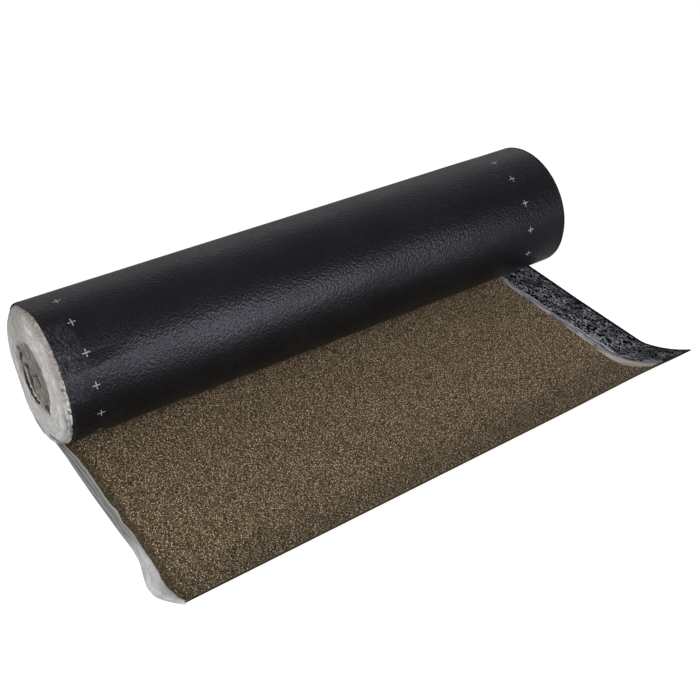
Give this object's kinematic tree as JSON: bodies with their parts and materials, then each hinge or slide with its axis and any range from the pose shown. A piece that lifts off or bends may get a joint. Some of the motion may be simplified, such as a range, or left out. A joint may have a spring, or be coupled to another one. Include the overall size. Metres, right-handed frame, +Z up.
{
  "type": "roofing felt roll",
  "caption": "Roll of mineral-surfaced roofing felt, its free end unrolled on the floor and curling up, with thin release film gathered over one end.",
  "frame": {"origin": "on the floor, at the middle of the whole object's outline", "axes": "+X along the roll's axis towards the selvedge edge, +Y from the free end towards the roll, +Z up"},
  "size_m": [1.025, 0.578, 0.236],
  "materials": {
    "felt": "black film-faced bitumen outside, brown mineral granules inside",
    "release_film": "thin translucent film, creased",
    "selvedge_film": "thin dark film, mottled"
  },
  "bodies": {
    "root": {"felt": "felt", "release_film": "release_film", "selvedge_film": "selvedge_film"}
  },
  "joints": []
}
